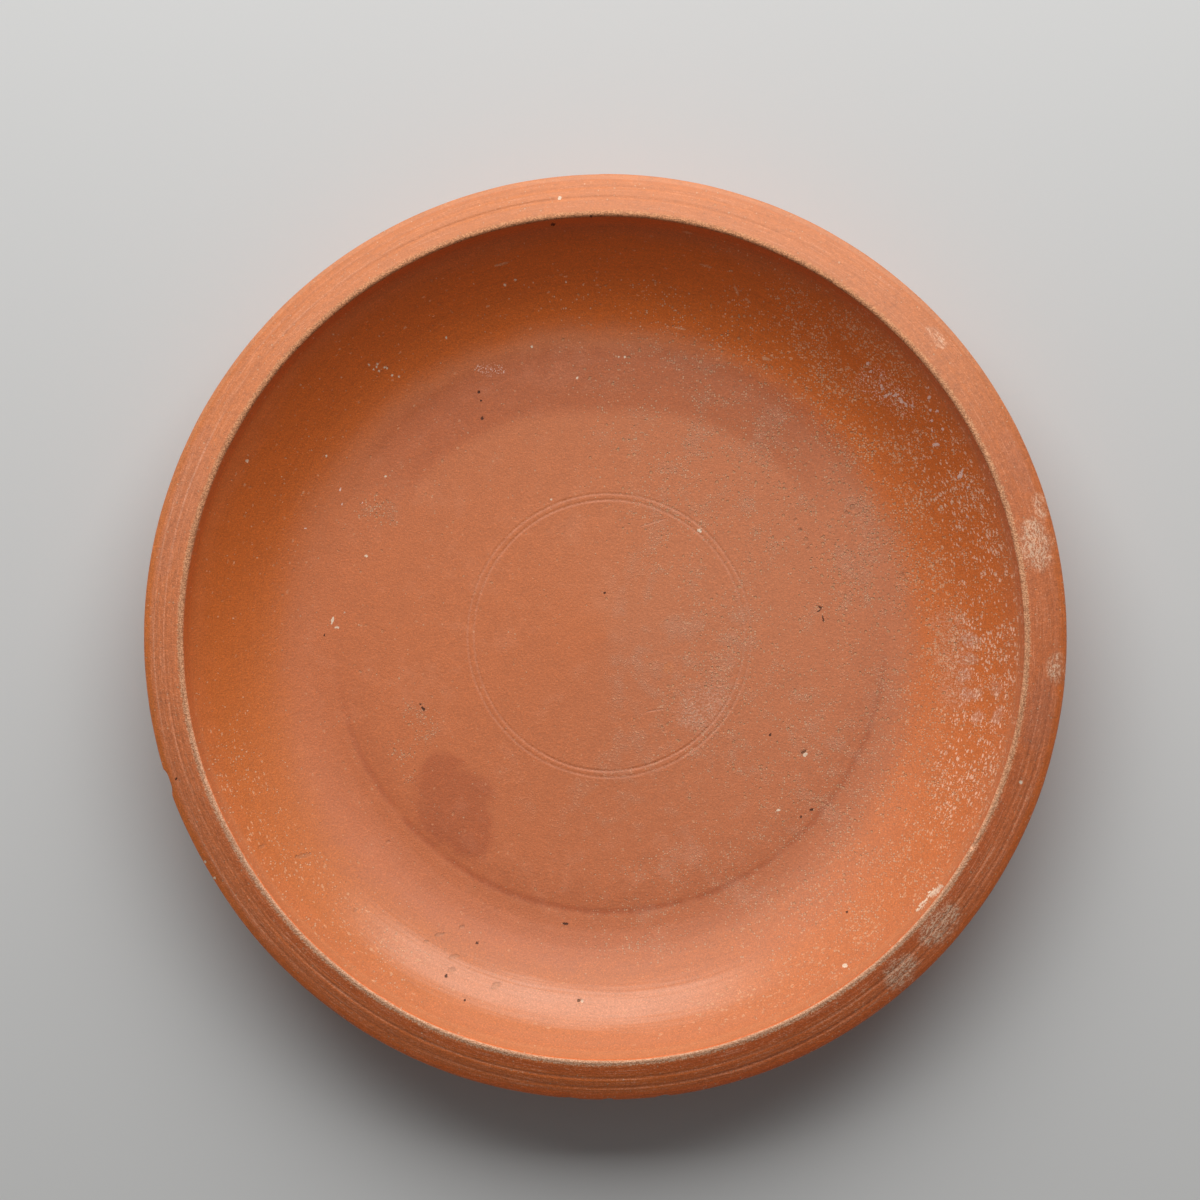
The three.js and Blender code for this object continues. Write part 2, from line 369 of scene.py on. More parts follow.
def mesh_from_grid(name, position, attributes):
    """A closed mesh from a (rows, columns, 3) grid in millimetres whose first and last rows are points
    on the axis, with the values given for its rows as point attributes."""
    body = position[1:-1]
    rows, columns = body.shape[:2]
    vertices = np.vstack([body.reshape(-1, 3), position[0, :1], position[-1, :1]]) * MM
    quads, triangles = grid_faces(rows, columns)
    mesh = bpy.data.meshes.new(name)
    mesh.vertices.add(len(vertices))
    mesh.vertices.foreach_set("co", vertices.astype(np.float32).ravel())
    corners = np.concatenate([quads.ravel(), triangles.ravel()])
    sizes = np.concatenate([np.full(len(quads), 4), np.full(len(triangles), 3)])
    mesh.loops.add(len(corners))
    mesh.loops.foreach_set("vertex_index", corners.astype(np.int32))
    mesh.polygons.add(len(sizes))
    starts = np.concatenate([[0], np.cumsum(sizes)[:-1]])
    mesh.polygons.foreach_set("loop_start", starts.astype(np.int32))
    mesh.polygons.foreach_set("use_smooth", np.ones(len(sizes), bool))
    mesh.update(calc_edges=True)
    for key, by_row in attributes.items():
        values = np.concatenate([np.repeat(by_row[1:-1], columns), by_row[:1], by_row[-1:]])
        mesh.attributes.new(key, "FLOAT", "POINT").data.foreach_set("value", values.astype(np.float32))
    return mesh


def linked(name, data):
    made = bpy.data.objects.new(name, data)
    bpy.context.scene.collection.objects.link(made)
    return made


def make_dish():
    """The dish's surface on a grid of (distance along the section, azimuth): the turned section, moved
    along its own normal by the surface height, bitten by the chips."""
    points, ends = section()
    along = np.concatenate([[0], np.cumsum(np.hypot(*np.diff(points, axis=0).T))])
    tangent = np.gradient(points, axis=0)
    tangent /= np.linalg.norm(tangent, axis=1)[:, None]
    azimuth = columns_round()
    height = surface_height(points, along, ends, azimuth)
    height[0] = height[-1] = 0
    radius = points[:, 0][:, None] + tangent[:, 1][:, None] * height + out_of_round(points, azimuth)
    level = points[:, 1][:, None] - tangent[:, 0][:, None] * height
    radius[0] = radius[-1] = 0
    position = np.stack([radius * np.sin(azimuth), radius * np.cos(azimuth), level], -1)
    position[..., :2] += off_middle(points, along, ends)[:, None]
    position = chipped(position, np.random.default_rng(SEED + 1))
    dish = linked("red_slip_dish", mesh_from_grid("red_slip_dish", position, {"along": along}))
    return dish, ends


class Wire:
    """A socket of a finish, with arithmetic that adds Math nodes."""

    def __init__(self, finish, socket):
        self.finish = finish
        self.socket = socket

    def __add__(self, other):
        return self.finish.maths("ADD", self, other)

    def __sub__(self, other):
        return self.finish.maths("SUBTRACT", self, other)

    def __rsub__(self, other):
        return self.finish.maths("SUBTRACT", other, self)

    def __mul__(self, other):
        return self.finish.maths("MULTIPLY", self, other)

    def __truediv__(self, other):
        return self.finish.maths("DIVIDE", self, other)

    __radd__ = __add__
    __rmul__ = __mul__


class Finish:
    """A material and the nodes that feed its shader."""

    def __init__(self, name):
        self.material = bpy.data.materials.new(name)
        self.material.use_nodes = True
        self.tree = self.material.node_tree
        self.shader = self.tree.nodes["Principled BSDF"]

    def plug(self, value, socket):
        if isinstance(value, Wire):
            self.tree.links.new(value.socket, socket)
        elif isinstance(value, tuple) and socket.type == "RGBA":
            socket.default_value = (*value, 1)
        else:
            socket.default_value = value

    def node(self, kind, settings=None, sockets=None, output=0):
        made = self.tree.nodes.new("ShaderNode" + kind)
        for key, value in (settings or {}).items():
            setattr(made, key, value)
        for key, value in (sockets or {}).items():
            self.plug(value, made.inputs[key])
        return Wire(self, made.outputs[output])

    def maths(self, operation, *values):
        return self.node("Math", {"operation": operation}, dict(enumerate(values)))

    def most(self, *values):
        """The greatest of several values."""
        total = values[0]
        for value in values[1:]:
            total = self.maths("MAXIMUM", total, value)
        return total

    def mix(self, factor, first, second, blend="MIX"):
        return self.node("Mix", {"data_type": "RGBA", "blend_type": blend, "clamp_factor": True},
                         {0: factor, 6: first, 7: second}, 2)

    def step(self, value, low, high):
        """0 at low, 1 at high, smooth between them. Low may be the greater one."""
        return self.node("MapRange", {"interpolation_type": "SMOOTHSTEP"},
                         {"Value": value, "From Min": low, "From Max": high})

    def band(self, value, low, high, soft):
        """1 between low and high, falling to 0 over soft on either side."""
        return self.step(value, low - soft, low) * self.step(value, high + soft, high)

    def vectors(self, operation, first, second, third=None, output=0):
        sockets = {0: first, 1: second} if third is None else {0: first, 1: second, 2: third}
        return self.node("VectorMath", {"operation": operation}, sockets, output)

    def joined(self, x, y, z):
        return self.node("CombineXYZ", {}, {0: x, 1: y, 2: z})

    def grey(self, value):
        return self.node("CombineColor", {}, {0: value, 1: value, 2: value})

    def noise(self, vector, scale, detail=2.0, rough=0.5):
        """A cloudy pattern around 0.5, with a lump about every 1/scale millimetres."""
        return self.node("TexNoise", {}, {"Vector": vector, "Scale": scale, "Detail": detail,
                                          "Roughness": rough})

    def cells(self, vector, scale, dimensions="2D"):
        """The distance to the nearest of scattered points, in cells of 1/scale, and three random numbers
        of its cell."""
        nearest = self.node("TexVoronoi", {"voronoi_dimensions": dimensions},
                            {"Vector": vector, "Scale": scale})
        chance = self.node("SeparateColor", {}, {0: Wire(self, nearest.socket.node.outputs[1])})
        return nearest, *(Wire(self, output) for output in chance.socket.node.outputs)


class Places:
    """The coordinates and patterns that the parts of the dish's finish share, in millimetres."""

    def __init__(self, finish):
        self.finish = finish
        self.at = finish.vectors("MULTIPLY", finish.node("TexCoord", {}, {}, 3), (1 / MM, 1 / MM, 1 / MM))
        axes = finish.node("SeparateXYZ", {}, {0: self.at}).socket.node.outputs
        self.x, self.y = Wire(finish, axes[0]), Wire(finish, axes[1])
        self.radius = finish.maths("SQRT", self.x * self.x + self.y * self.y)
        safe = finish.maths("MAXIMUM", self.radius, 0.5)
        self.east = self.x / safe
        self.north = self.y / safe
        self.eastness, self.northness = self.east * 0.5 + 0.5, self.north * 0.5 + 0.5
        self.along = finish.node("Attribute", {"attribute_name": "along"}, {}, 2)
        self.clouds = finish.noise(self.at, 0.024, 2.0, 0.55)
        self.patchy = finish.noise(self.at, 0.075, 2.0, 0.55)
        self.mottle = finish.noise(self.at, 0.17, 4.0, 0.6)
        self.fine = finish.noise(self.at, 1.05, 3.0, 0.62)
        self.grain = finish.noise(self.at, 2.1, 2.0, 0.6)
        self.streaks = finish.noise(self.wheel(0.9, 3.0), 1.0, 3.0, 0.6)
        self.thin_streaks = finish.noise(self.wheel(2.6, 9.0), 1.0, 2.0, 0.6)
        self.dashes = finish.noise(self.wheel(2.2, 120.0), 1.0, 2.0, 0.6)
        self.flat = finish.joined(self.x, self.y, 0.0)
        self.ragged = finish.joined(self.x + (self.fine - 0.5) * 1.2, self.y + (self.grain - 0.5) * 1.2, 0.0)

    def wheel(self, across, round_the_dish):
        """A vector for streaks that follow the wheel: across is how many lumps a millimetre holds along
        the section, and the second number how many a turn holds in about six."""
        return self.finish.joined(self.along * across, self.east * round_the_dish,
                                  self.north * round_the_dish)

    def facing(self, azimuth, narrow, wide):
        """1 within narrow degrees of an azimuth, 0 past wide degrees from it."""
        turn = math.radians(azimuth)
        cosine = self.east * math.sin(turn) + self.north * math.cos(turn)
        return self.finish.step(cosine, math.cos(math.radians(wide)), math.cos(math.radians(narrow)))

    def off(self, middle):
        """The distance from a point given by x and y."""
        return self.finish.vectors("DISTANCE", self.flat, (*middle, 0), output=1)

    def slip(self, middle, eastwards, northwards):
        """A colour that changes evenly towards +X and towards +Y: four corner colours, mixed."""
        def corner(east, north):
            return tuple(max(0, m + e * east + n * north) for m, e, n in zip(middle, eastwards, northwards))

        near = self.finish.mix(self.eastness, corner(-1, -1), corner(1, -1))
        far = self.finish.mix(self.eastness, corner(-1, 1), corner(1, 1))
        return self.finish.mix(self.northness, near, far)

    def spots(self, rows, field=None):
        """How deep inside the nearest of some spots a place lies, about in millimetres, negative outside.
        A row is a spot's middle and radius, or its middle, half length, half width and turn. The long
        ones are ellipses, on which the distances to two foci have one sum."""
        finish = self.finish
        field = field or self.ragged
        total = None
        for x, y, *form in rows:
            if len(form) == 1:
                depth = form[0] - finish.vectors("DISTANCE", field, (x, y, 0), output=1)
            else:
                longer, shorter, turn = form[0], form[1], math.radians(form[2])
                if longer < shorter:
                    longer, shorter, turn = shorter, longer, turn + math.pi / 2
                focus = math.sqrt(longer**2 - shorter**2)
                across, up = focus * math.cos(turn), focus * math.sin(turn)
                reach = (finish.vectors("DISTANCE", field, (x - across, y - up, 0), output=1)
                         + finish.vectors("DISTANCE", field, (x + across, y + up, 0), output=1))
                depth = (2 * longer - reach) * (longer / shorter / 2)
            total = depth if total is None else finish.maths("MAXIMUM", total, depth)
        return total

    def patches(self, rows, soft):
        """1 inside some patches with a broken border that is soft by so many millimetres."""
        depth = self.spots(rows, self.flat) + (self.mottle - 0.5) * 7 + (self.fine - 0.5) * 3
        return self.finish.step(depth, -soft, soft)


def on_rim(azimuth, radius, half_along, half_across):
    """The row of a patch that lies along the rim."""
    turn = math.radians(azimuth)
    return radius * math.sin(turn), radius * math.cos(turn), half_along, half_across, -azimuth


# Slip colours, linear, in the middle and how they change towards +X and towards +Y. The middle colours
# are the slip's own; the changes on the wall and rim are painted light and shade: the rim is darker towards
# +Y, where it faces the lamp, and lighter towards -Y, and the wall is brighter and redder towards +Y, where
# it lies in shade.
FLOOR_SLIP = ((0.680, 0.193, 0.059), (-0.010, 0.010, 0.012), (0.020, 0.008, 0.003))
WALL_SLIP_AND_SHADING = ((0.710, 0.168, 0.015), (0.045, 0.014, 0.012), (0.050, -0.018, -0.024))
RIM_SLIP_AND_SHADING = ((0.738, 0.171, 0.017), (-0.036, -0.011, -0.005), (-0.114, -0.006, 0.001))
RIM_SIDES = (0.0, 0.033, 0.040)  # what the rim's slip has more of at the left and right
RIM_SHADOW_TINT = (0.84, 0.71, 0.50)
FLOOR_EDGE_SHADE = (0.96, 0.95, 0.93)
RED_SIDE = (0.98, 0.90, 0.82)
EDGE_SHADE_TINT = (0.94, 0.76, 0.0)
UNDER_LIP_SHADE = (0.88, 0.78, 0.62)
LOW_WALL_SHADE = (0.96, 0.93, 0.90)
PAINTED_HIGHLIGHT = (0.80, 0.35, 0.20)
STAIN_TINT = (0.82, 0.71, 0.58)
LINE_DIRT_AND_SHADE = (0.82, 0.70, 0.56)
FILM = (0.74, 0.38, 0.25)
TAN = (0.82, 0.44, 0.24)
PALE_TAN = (0.95, 0.53, 0.30)
PINK = (1.00, 0.58, 0.39)
OLIVE = (0.70, 0.37, 0.17)
FACE_SHEEN = (0.70, 0.30, 0.14)
SAND = (0.87, 0.46, 0.28)
CREAM = (0.98, 0.68, 0.46)
RUBBED = (0.72, 0.35, 0.20)
CHALK = (0.95, 0.76, 0.56)
UNDER_CLAY = (0.62, 0.25, 0.12)
BROWN = (0.30, 0.09, 0.03)
PIT_SHADE = (0.030, 0.008, 0.003)

# Marks: x, y and radius, or x, y, half length, half width and turn
DARK_PITS = (
    (-42.4, 80.7, 0.45), (-41.5, 78.0, 0.35), (-41.3, 72.0, 0.45), (-60.8, -24.1, 0.8, 0.45, -40),
    (-61.7, -22.6, 0.3), (-13.6, -95.1, 0.9, 0.38, 0), (-42.6, -101.3, 0.4), (-0.6, 14.3, 0.42),
    (54.0, -32.6, 0.45), (-16.2, 133.6, 0.65, 0.42, 5), (-3.6, 135.8, 0.35), (-138.9, -46.2, 0.45, 0.3, 70),
    (-93.5, 0.2, 0.35, 0.2, 80), (-52.1, -111.3, 0.42), (-45.6, -118.8, 0.4), (-8.7, -119.4, 0.42),
    (70.5, 9.5, 0.9, 0.24, -41), (70.2, 8.4, 1.0, 0.18, 29), (71.4, 5.8, 1.1, 0.2, -80),
    (65.0, -38.3, 0.9, 0.3, 30), (79.1, -90.1, 0.36), (67.5, -57.3, 0.6, 0.32, 10), (64.2, -59.6, 0.3),
)
SCRATCHES = (
    (15.4, 37.5, 4.8, 0.3, 17), (15.8, -24.6, 3.0, 0.32, 9),
)
DENTS = (
    (-49.9, -105.5, 1.7, 0.7, 10), (-50.3, -109.5, 1.3, 0.7, 5), (-35.9, -114.7, 1.6, 0.95, 25),
    (-47.7, -96.1, 0.9, 0.55, 15), (-54.8, -98.5, 1.6, 0.6, 5), (-59.2, -100.6, 0.8, 0.5, 0),
    (-8.3, -119.4, 0.9, 0.6, 0), (64.8, -38.2, 1.1, 0.6, 20), (81.0, 42.4, 0.9), (79.1, 40.6, 0.7),
    (-99.1, -72.1, 2.6, 0.75, 8), (-111.7, -68.5, 0.9, 0.6, 40), (-72.4, -68.1, 0.6, 0.4, 0),
    (-82.1, -90.1, 0.55), (62.2, 38.3, 0.7, 0.5, 40), (63.8, 35.0, 0.7), (65.8, 31.7, 0.8, 0.6, 60),
    (66.5, 28.8, 0.55), (97.4, 20.2, 0.7),
)
CHALK_DOTS = (
    (-13.9, 141.9, 0.7, 0.45, 90), (30.6, 34.9, 0.8, 0.5, -40), (-18.5, 45.2, 0.34),
    (-90.9, 5.2, 1.3, 0.42, 75), (-89.5, 2.9, 0.75, 0.36, 0), (-87.0, 7.8, 0.26), (65.6, -39.0, 1.0, 0.5, 30),
    (56.7, -57.4, 0.8, 0.35, 10), (-129.7, -73.3, 0.42), (-126.4, -78.5, 0.42), (134.6, -46.7, 0.65),
    (78.3, -106.5, 0.8, 0.6, 0), (-7.6, -119.5, 0.4), (-75.2, 89.6, 0.36), (-75.5, 88.7, 0.32),
    (-76.4, 87.9, 0.28), (-74.8, 87.4, 0.38), (-73.0, 88.6, 0.34), (-72.4, 88.3, 0.28),
    (-70.6, 86.1, 0.38), (-68.5, 85.7, 0.38), (-77.8, 89.3, 0.32), (-79.7, 26.6, 0.6, 0.4, 0),
    (-92.5, 59.5, 0.4), (-116.7, 57.4, 0.45), (-73.3, 52.9, 0.36), (-32.9, 115.3, 0.42), (-29.5, 116.9, 0.34),
    (-52.8, 98.4, 0.36), (-24.7, 95.7, 0.4), (-9.7, 85.4, 0.4), (4.0, 92.3, 0.36), (6.0, 92.3, 0.34),
    (-13.0, 116.4, 0.32),
)
CRUSTS = (
    (106.9, -82.3, 2.3, 0.8, 38), (108.8, -80.4, 1.2, 0.4, 20), (103.2, -86.4, 2.8, 0.4, 50),
)
PALE_PATCHES = (
    (119.3, -1.1, 3.4, 1.7, 0), (118.6, -7.7, 3.4, 1.6, 0), (119.5, -18.7, 3.0, 2.0, 0),
    (127.0, -16.9, 2.3, 1.3, 75), (127.8, -25.3, 2.6, 1.3, 70), (121.3, -25.8, 1.6, 1.2, 30),
    (117.2, -12.6, 2.6, 1.6, 60),
)
HAZE = ((114.5, -5.0, 5.5, 9.0, 0), (114.5, -17.5, 4.5, 6.0, 0), (112.0, 5.0, 5.0, 3.0, 0),
        (31.8, -23.4, 9.0, 6.0, 40))
CRUMB_PATCHES = (
    (85.9, 89.1, 0.5), (86.8, 86.6, 0.5), (90.2, 85.2, 0.4), (90.4, 82.0, 0.4), (90.8, 80.7, 0.5),
    (91.8, 78.6, 0.6), (93.1, 79.2, 0.7, 0.5, 20), (95.0, 78.7, 1.1, 0.5, 0), (96.6, 77.0, 1.3, 0.55, -50),
    (98.0, 75.8, 1.1, 0.5, -45), (88.6, 78.5, 0.4), (100.2, 75.1, 0.45), (105.1, 80.8, 0.3),
    (105.6, 77.4, 0.8, 0.4, 70), (106.1, 73.6, 0.35), (108.2, 73.1, 0.45), (106.4, 70.2, 0.5),
    (106.6, 66.8, 0.4), (110.0, 67.4, 0.4), (108.0, 62.5, 1.2, 0.65, -5), (116.1, 52.9, 1.6, 0.45, 80),
    (115.3, 52.0, 0.5), (118.2, 48.5, 0.45), (118.0, 39.1, 0.5), (-88.2, 48.6, 0.7, 0.22, 80),
    (-87.7, 43.8, 0.5, 0.2, 80), (-81.0, 44.3, 0.28), (-99.5, 35.7, 0.26),
)
TAN_MARKS = (
    (52.6, 91.4, 1.4, 0.6, -20), (26.6, 4.4, 1.5, 0.3, -12), (18.0, -23.2, 1.2, 0.3, 25),
    (28.0, -37.4, 1.0, 0.25, 70), (33.1, 120.9, 2.2, 0.3, -18), (27.5, 130.9, 1.8, 0.25, -14),
    (42.9, 113.4, 2.0, 0.35, -65), (46.8, 109.9, 1.2, 0.35, -40), (-33.5, 121.7, 2.6, 0.3, 15),
    (24.3, 101.6, 1.8, 0.3, -12),
)
RIM_FLECKS = (on_rim(144.5, 144.0, 7.0, 3.6), on_rim(128.0, 143.0, 5.0, 3.0), on_rim(78.0, 143.0, 8.0, 4.0))
RUBS = (
    on_rim(73.3, 147.3, 4.0, 2.0), on_rim(78.0, 142.6, 8.5, 5.0), on_rim(94.0, 146.6, 5.0, 2.6),
    on_rim(138.3, 144.2, 6.5, 4.8), on_rim(130.5, 142.6, 8.5, 4.4), on_rim(48.0, 144.5, 4.5, 1.2),
)
DULL_RIM = (on_rim(67.0, 145.0, 11.0, 2.8), on_rim(100.0, 142.5, 12.0, 5.0), on_rim(288.0, 143.0, 26.0, 4.5))
CRUMBLY = ((-38.5, 88.3, 5.0, 1.6, -8), (93.5, 78.5, 9.0, 4.0, -35), (88.0, 84.0, 5.0, 4.0, 0))
LEFT_GRIT = ((-62.0, -31.0, 8.0, 5.0, 100), (-68.0, -42.0, 9.0, 4.0, 120), (-77.0, 42.0, 8.0, 4.0, 150))


def slip_finish(ends):
    """The red slip and all that wears, stains and crusts it, from inside the foot to over the rim, and the light
    and shade painted into its colour in places.
    """
    finish = Finish("worn_red_slip_and_painted_light")
    p = Places(finish)
    step, band, mix, most = finish.step, finish.band, finish.mix, finish.most
    lip_start, lip_end = ends["rim_2"], ends["rim_3"]
    bevel_start = ends["rim_1"]

    # Where each surface lies
    inner = step(p.along, lip_end - 0.1, lip_end + 0.5)
    outer = step(p.along, bevel_start - 2.2, bevel_start - 4.4)
    bevel = (1 - inner) * (1 - outer)
    lobes = (p.mottle - 0.5) * 7 + (p.clouds - 0.5) * 8
    wall = step(p.radius + lobes + p.east * 4 + p.north * 3, 98, 111) * inner
    near_lip = step(p.radius + lobes, 127.5, 133.5) * inner

    # The slip, more orange up the wall and duller again near the lip, with painted light and shade laid over it
    floor_color = p.slip(*FLOOR_SLIP)
    color = mix(wall * (1 - near_lip * 0.35), floor_color, p.slip(*WALL_SLIP_AND_SHADING))
    sideways = finish.maths("ABSOLUTE", p.east)
    # A painted shadow of the rim on the outer floor towards +Y, the lamp's side
    painted_rim_shadow = band(p.radius + lobes * 0.5 - sideways * 8, 77, 92, 6) * inner * p.facing(0, 34, 66)
    color = mix(painted_rim_shadow, color, mix(1.0, color, RIM_SHADOW_TINT, "MULTIPLY"))
    # Painted shade round the floor's edge and the foot of the wall towards -Y, the side away from the lamp
    painted_floor_edge_shade = band(p.radius, 84, 102, 7) * inner * p.facing(180, 70, 110)
    color = mix(painted_floor_edge_shade, color, mix(1.0, color, FLOOR_EDGE_SHADE, "MULTIPLY"))
    # Painted shade in a band low on the wall towards -Y, just inside the painted highlight
    painted_wall_shade = band(p.radius, 110, 115, 5) * inner * p.facing(185, 35, 70)
    color = mix(painted_wall_shade, color, mix(1.0, color, LOW_WALL_SHADE, "MULTIPLY"))
    # A painted highlight low on the wall towards -Y, where the lamp's reflection falls, streaked along the wheel
    painted_highlight = band(p.radius + (p.streaks - 0.5) * 10, 120, 123.5, 6.5) * p.facing(189, 10, 40) * inner
    color = mix(painted_highlight * (0.30 + 0.5 * p.streaks + 0.4 * p.patchy), color, PAINTED_HIGHLIGHT)
    # Painted sheen on the steep face under the lip, on the half towards -Y that faces the lamp
    face = band(p.along, lip_end, lip_end + 5.0, 2.5) * inner * p.facing(150, 90, 130)
    color = mix(face * 0.36, color, FACE_SHEEN)
    rim_color = mix(p.east * p.east, p.slip(*RIM_SLIP_AND_SHADING), RIM_SIDES, "ADD")
    edge = step(p.along + (p.mottle - 0.5) * 2, bevel_start + 3.0, bevel_start + 0.8)
    # Painted shade on the rim's outer edge, strongest towards -Y: it darkens the rounding and takes the pale
    # floor's bounce light out of it
    rim_color = mix(edge * (1.1 - 0.8 * p.northness), rim_color, mix(1.0, rim_color, EDGE_SHADE_TINT, "MULTIPLY"))
    rim_color = mix(p.facing(25, 18, 42) * 0.15, rim_color, (0.78, 0.27, 0.12))
    red_side = most(p.facing(97, 22, 45), p.facing(145, 15, 32) * 0.8)
    rim_color = mix(red_side, rim_color, mix(1.0, rim_color, RED_SIDE, "MULTIPLY"))
    # A painted highlight on the rounded outer edge towards +Y, the side that faces the lamp
    edge_highlight = band(p.radius, 148.5, 149.6, 0.4) * p.facing(355, 45, 80)
    rim_color = mix(edge_highlight * 0.10, rim_color, CREAM)
    # Painted shade on the sloping face just under the lip towards -Y, the side away from the lamp
    under_lip_shade = band(p.along, lip_start - 3.6, lip_start - 1.6, 0.7) * p.facing(175, 50, 85)
    rim_color = mix(under_lip_shade * 0.8, rim_color, mix(1.0, rim_color, UNDER_LIP_SHADE, "MULTIPLY"))
    color = mix(1 - inner, color, rim_color)

    # The dark stain low on the left of the floor
    stain = p.spots(((-50.5, -55.5, 19.0, 12.5, -66),), p.flat) + (p.patchy - 0.5) * 14 + (p.mottle - 0.5) * 8
    stain = step(stain, -2.5, 3.0) * (0.7 + 0.6 * p.mottle)
    color = mix(stain, color, mix(1.0, color, STAIN_TINT, "MULTIPLY"))

    # The broken line along the floor's edge, partly dirt in its groove and partly painted shade in the crease
    # and just inside it, on the side towards -Y away from the lamp, and the pale rings round its middle
    off_middle = p.off(FLOOR_MIDDLE)
    line = step(finish.maths("ABSOLUTE", off_middle - FLOOR_GROOVE + (p.mottle - 0.5) * 2), 1.8, 0.2)
    line = line * step(p.patchy + (p.fine - 0.5) * 0.6, 0.34, 0.52) + band(off_middle, 87, 90.5, 3.5) * 0.2
    color = mix(line * p.facing(172, 52, 100) * inner * 0.9, color, mix(1.0, color, LINE_DIRT_AND_SHADE, "MULTIPLY"))
    for ring in FLOOR_RINGS:
        pale = step(finish.maths("ABSOLUTE", off_middle - ring), 0.55, 0.15) * step(p.grain, 0.36, 0.56)
        color = mix(pale * 0.22 * inner, color, FILM)

    # A thin pale film in soft patches
    film = step(p.mottle * 0.5 + p.patchy * 0.5, 0.50, 0.66) * (0.07 + 0.12 * p.facing(100, 40, 110))
    film = film * inner * (1 - wall)
    lace = step(p.fine * 0.55 + p.grain * 0.45, 0.44, 0.58)
    film = film + p.patches(PALE_PATCHES, 1.2) * (0.25 + 0.5 * lace) + p.patches(HAZE, 4.0) * 0.5 * lace
    color = mix(film, color, FILM)

    # Pale dashes along the wheel where the slip has lost its skin, crowded on the right wall
    right_wall = p.facing(88, 20, 40) * band(p.radius, 119, 131, 8)
    upper_wall = p.facing(66, 20, 44) * band(p.radius, 110, 131, 9)
    lower_wall = p.facing(120, 12, 42) * band(p.radius, 102, 132, 11)
    left_wall = p.facing(233, 12, 32) * band(p.radius, 121, 133, 5)
    clumps = step(p.patchy * 0.6 + p.mottle * 0.4, 0.40, 0.60)
    low_lip = p.facing(144, 14, 28) * band(p.radius, 123, 131, 3)
    crowd = most(right_wall * 1.15, upper_wall * 0.8, lower_wall * 0.16, low_lip * 0.6, left_wall * 0.30, 0.02)
    crowd = most(crowd * (0.35 + 0.65 * clumps) * inner, p.patches(RIM_FLECKS, 2.5) * bevel * 0.5)
    scuffs = step(p.dashes + (p.fine - 0.5) * 0.5 + crowd * 0.12, 0.76, 0.82)
    color = mix(scuffs * 0.6, color, TAN)
    spot, picked, spot_size, _ = finish.cells(p.wheel(1.15, 92.0), 1.0, "3D")
    reach = 0.10 + 0.46 * spot_size * spot_size
    spot = reach - spot + (p.dashes - 0.5) * 1.3 + (p.grain - 0.5) * 0.7
    flecks = step(spot, -0.06, 0.06) * step(picked - crowd, 0.03, -0.03)
    grain_color = mix(p.northness * wall, TAN, PALE_TAN)
    color = mix(flecks * (0.60 + 0.35 * right_wall), color, mix(right_wall, grain_color, PINK))

    # Grit: small grains that stand out of the slip, and the pale hollows of grains that fell out
    right_floor = p.facing(75, 40, 95) * band(p.radius, 35, 108, 16)
    big = p.facing(66, 16, 40) * band(p.radius, 74, 104, 8)
    low_floor = p.facing(143, 22, 48) * band(p.radius, 78, 102, 9)
    right_side = p.facing(78, 38, 66) * band(p.radius, 98, 130, 8)
    left_grit = p.patches(LEFT_GRIT, 3.0)
    grit_crowd = most(right_floor * 0.6, low_floor * 0.7, right_side, lower_wall * 0.7, left_grit * 0.8,
                      left_wall * 0.35, 0.03)
    grit_crowd = most(grit_crowd * (0.2 + 0.8 * clumps) * inner, 0.05 * bevel)
    grit, chance, size, kind = finish.cells(p.flat, 1.35)
    reach = 0.10 + 0.34 * size * size
    grit = step(grit - reach + (p.fine - 0.5) * 0.7, 0.04, -0.08) * step(chance - grit_crowd, 0.03, -0.03)
    hollow = step(kind, 0.42, 0.46)
    color = mix(grit * 0.8, color, grain_color)
    pit_crowd = most(big, right_floor * 0.30, left_grit * 0.35, 0.015) * (0.2 + 0.8 * clumps) * inner
    hole, chosen, hole_size, _ = finish.cells(p.flat, 0.55)
    reach = 0.12 + 0.18 * hole_size
    hole = step(hole - reach + (p.fine - 0.5) * 0.5, 0.02, -0.09) * step(chosen - pit_crowd * 0.8, 0.03, -0.03)
    color = mix(hole * 0.55, color, OLIVE)
    orange = step(p.off((20.3, -10.5)) + (p.fine - 0.5) * 4, 2.4, 1.0)
    color = mix(orange * 0.5, color, (0.80, 0.23, 0.05))

    # Crackled patches on the floor, where the slip lifted in small curls
    crackle = most(right_floor * 0.8, p.facing(110, 60, 125) * band(p.radius, 12, 60, 14), left_grit, big)
    crackle = crackle * step(p.mottle * 0.6 + p.patchy * 0.4, 0.50, 0.60) * inner * (1 - wall)
    curls = step(p.grain * 0.55 + p.fine * 0.45, 0.54, 0.59) * crackle
    color = mix(curls * 0.36, color, TAN)

    # Worn clay and pale grains on the sloping face, and painted highlights beside its grooves
    rubs = p.patches(RUBS, 2.4)
    color = mix(rubs * bevel * 0.28, color, RUBBED)
    coarse = p.dashes * 0.65 + p.grain * 0.35
    grains = step(coarse + rubs * 0.08, 0.55, 0.62) * bevel
    color = mix(grains * (0.32 - 0.26 * p.northness + 0.45 * rubs - 0.20 * edge), color, mix(rubs, SAND, CREAM))
    specks = step(coarse, 0.45, 0.38) * bevel
    color = mix(specks * (0.13 - 0.07 * p.northness + 0.25 * rubs), color, BROWN)
    color = mix(p.patches(DULL_RIM, 2.5) * bevel * 0.16, color, (0.50, 0.20, 0.13))
    pale_lines = step(p.thin_streaks, 0.55, 0.68) * bevel
    pale_lines = pale_lines * (1 - 0.6 * edge) * step(p.grain, 0.36, 0.56)
    color = mix(pale_lines * (0.36 - 0.22 * p.northness), color, PINK)
